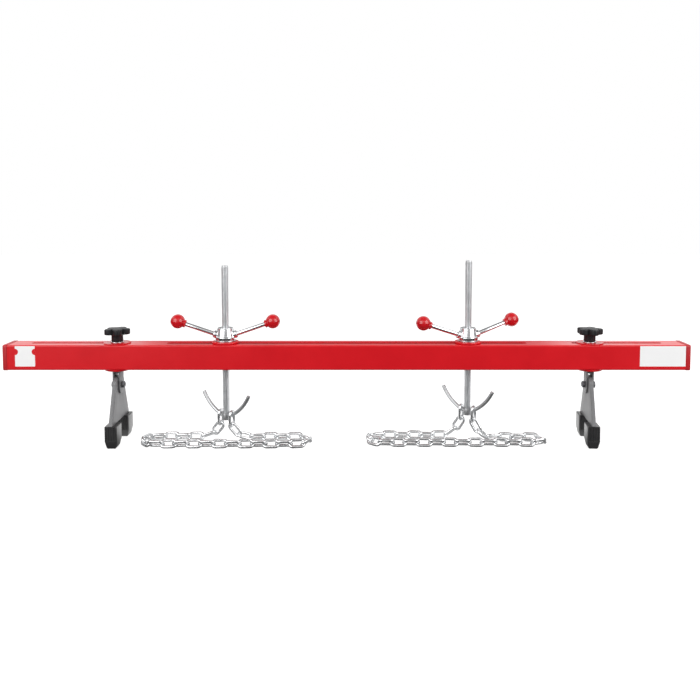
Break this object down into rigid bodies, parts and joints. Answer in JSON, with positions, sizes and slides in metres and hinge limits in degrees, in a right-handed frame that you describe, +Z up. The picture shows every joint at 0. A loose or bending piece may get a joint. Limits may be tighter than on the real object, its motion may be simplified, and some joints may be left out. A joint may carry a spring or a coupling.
{
  "type": "engine support bar",
  "caption": "Slotted steel beam on two sliding forked feet that holds an engine from above with lifting screws, double hooks and sling chains.",
  "frame": {"origin": "middle of the bounding box's underside, on the floor plane through the soles of the boots", "axes": "+X along the beam to the foot that stands nearer its end, +Y away from the viewer, +Z up"},
  "size_m": [1.5, 0.1294, 0.4043],
  "materials": {
    "red_paint": "glossy powder coat",
    "red_plastic": "moulded, semi-gloss",
    "grey_paint": "satin grey paint",
    "black_rubber": "matt moulded rubber",
    "black_plastic": "fine-grained moulding",
    "zinc": "bright zinc plate",
    "chrome": "bright plated casting",
    "chain_zinc": "bright zinc-plated chain"
  },
  "bodies": {
    "beam": {"beam_tube": "red_paint", "left_end_cap": "red_plastic", "right_end_cap": "red_plastic"},
    "left_foot_carriage": {"left_foot_base_disc": "red_paint", "left_foot_top_disc": "red_paint", "left_foot_washer": "zinc"},
    "left_foot_swivel": {"left_foot_stud": "zinc", "left_clevis": "grey_paint", "left_pivot_bolt": "zinc", "left_pivot_nut": "zinc"},
    "left_leg": {"left_leg_plate": "grey_paint", "left_front_boot": "black_rubber", "left_rear_boot": "black_rubber"},
    "left_insert": {"left_knob_insert": "zinc"},
    "left_knob": {"left_knob": "black_plastic"},
    "left_hook_carriage": {"left_hook_disc": "red_paint"},
    "left_hook_swivel": {"left_thrust_washer": "zinc"},
    "left_lever_nut": {"left_lever_nut": "chrome", "left_outer_lever": "chrome", "left_inner_lever": "chrome", "left_outer_ball": "red_plastic", "left_inner_ball": "red_plastic"},
    "left_lift": {"left_lift_screw": "zinc", "left_double_hook": "zinc"},
    "left_chain": {"left_chain_outer_link": "chain_zinc", "left_chain_length_1": "chain_zinc", "left_chain_length_2": "chain_zinc", "left_chain_length_3": "chain_zinc", "left_chain_length_4": "chain_zinc", "left_chain_length_5": "chain_zinc", "left_chain_inner_link": "chain_zinc"},
    "right_foot_carriage": {"right_foot_base_disc": "red_paint", "right_foot_top_disc": "red_paint", "right_foot_washer": "zinc"},
    "right_foot_swivel": {"right_foot_stud": "zinc", "right_clevis": "grey_paint", "right_pivot_bolt": "zinc", "right_pivot_nut": "zinc"},
    "right_leg": {"right_leg_plate": "grey_paint", "right_front_boot": "black_rubber", "right_rear_boot": "black_rubber"},
    "right_insert": {"right_knob_insert": "zinc"},
    "right_knob": {"right_knob": "black_plastic"},
    "right_hook_carriage": {"right_hook_disc": "red_paint"},
    "right_hook_swivel": {"right_thrust_washer": "zinc"},
    "right_lever_nut": {"right_lever_nut": "chrome", "right_outer_lever": "chrome", "right_inner_lever": "chrome", "right_outer_ball": "red_plastic", "right_inner_ball": "red_plastic"},
    "right_lift": {"right_lift_screw": "zinc", "right_double_hook": "zinc"},
    "right_chain": {"right_chain_outer_link": "chain_zinc", "right_chain_length_1": "chain_zinc", "right_chain_length_2": "chain_zinc", "right_chain_length_3": "chain_zinc", "right_chain_length_4": "chain_zinc", "right_chain_length_5": "chain_zinc", "right_chain_inner_link": "chain_zinc"}
  },
  "joints": [
    {"name": "left_foot_slide", "type": "slide", "parent": "beam", "child": "left_foot_carriage", "axis": [1, 0, 0], "range_m": [-0.182, 0.003]},
    {"name": "left_foot_turn", "type": "hinge", "parent": "left_foot_carriage", "child": "left_foot_swivel", "pos_m": [-0.508, 0, 0.128], "axis": [0, 0, 1], "range_deg": [-15, 15]},
    {"name": "left_leg_tilt", "type": "hinge", "parent": "left_foot_swivel", "child": "left_leg", "pos_m": [-0.508, 0, 0.128], "axis": [1, 0, 0], "range_deg": [-20, 20]},
    {"name": "left_knob_turn", "type": "hinge", "parent": "left_insert", "child": "left_knob", "pos_m": [-0.508, 0, 0.24], "axis": [0, 0, 1], "range_deg": [0, 720]},
    {"name": "left_knob_rise", "type": "slide", "parent": "left_foot_swivel", "child": "left_insert", "axis": [0, 0, 1], "range_m": [0, 0.0035]},
    {"name": "left_hook_slide", "type": "slide", "parent": "beam", "child": "left_hook_carriage", "axis": [1, 0, 0], "range_m": [-0.005, 0.05]},
    {"name": "left_hook_turn", "type": "hinge", "parent": "left_hook_carriage", "child": "left_hook_swivel", "pos_m": [-0.2685, 0, 0.227], "axis": [0, 0, 1], "range_deg": [-90, 90]},
    {"name": "left_lever_turn", "type": "hinge", "parent": "left_hook_swivel", "child": "left_lever_nut", "pos_m": [-0.2685, 0, 0.24], "axis": [0, 0, 1], "range_deg": [-7200, 21600]},
    {"name": "left_screw_lift", "type": "slide", "parent": "left_hook_swivel", "child": "left_lift", "axis": [0, 0, 1], "range_m": [-0.12, 0.04]},
    {"name": "left_chain_swing", "type": "hinge", "parent": "left_lift", "child": "left_chain", "pos_m": [-0.2685, 0, 0.06016], "axis": [0.8988, -0.4384, 0], "range_deg": [-10, 10]},
    {"name": "right_foot_slide", "type": "slide", "parent": "beam", "child": "right_foot_carriage", "axis": [1, 0, 0], "range_m": [-0.033, 0.152]},
    {"name": "right_foot_turn", "type": "hinge", "parent": "right_foot_carriage", "child": "right_foot_swivel", "pos_m": [0.538, 0, 0.128], "axis": [0, 0, 1], "range_deg": [-15, 15]},
    {"name": "right_leg_tilt", "type": "hinge", "parent": "right_foot_swivel", "child": "right_leg", "pos_m": [0.538, 0, 0.128], "axis": [0.9962, -0.0872, 0], "range_deg": [-20, 20]},
    {"name": "right_knob_turn", "type": "hinge", "parent": "right_insert", "child": "right_knob", "pos_m": [0.538, 0, 0.24], "axis": [0, 0, 1], "range_deg": [0, 720]},
    {"name": "right_knob_rise", "type": "slide", "parent": "right_foot_swivel", "child": "right_insert", "axis": [0, 0, 1], "range_m": [0, 0.0035]},
    {"name": "right_hook_slide", "type": "slide", "parent": "beam", "child": "right_hook_carriage", "axis": [1, 0, 0], "range_m": [-0.05, 0.005]},
    {"name": "right_hook_turn", "type": "hinge", "parent": "right_hook_carriage", "child": "right_hook_swivel", "pos_m": [0.2685, 0, 0.227], "axis": [0, 0, 1], "range_deg": [-90, 90]},
    {"name": "right_lever_turn", "type": "hinge", "parent": "right_hook_swivel", "child": "right_lever_nut", "pos_m": [0.2685, 0, 0.24], "axis": [0, 0, 1], "range_deg": [-7200, 21600]},
    {"name": "right_screw_lift", "type": "slide", "parent": "right_hook_swivel", "child": "right_lift", "axis": [0, 0, 1], "range_m": [-0.12, 0.04]},
    {"name": "right_chain_swing", "type": "hinge", "parent": "right_lift", "child": "right_chain", "pos_m": [0.2685, 0, 0.07116], "axis": [0.829, -0.5592, 0], "range_deg": [-10, 10]}
  ],
  "couplings": [
    {"joint": "left_knob_rise", "follows": "left_knob_turn", "m_per_rad": 0.00027852},
    {"joint": "left_screw_lift", "follows": "left_lever_turn", "m_per_rad": -0.00031831},
    {"joint": "right_knob_rise", "follows": "right_knob_turn", "m_per_rad": 0.00027852},
    {"joint": "right_screw_lift", "follows": "right_lever_turn", "m_per_rad": -0.00031831}
  ]
}
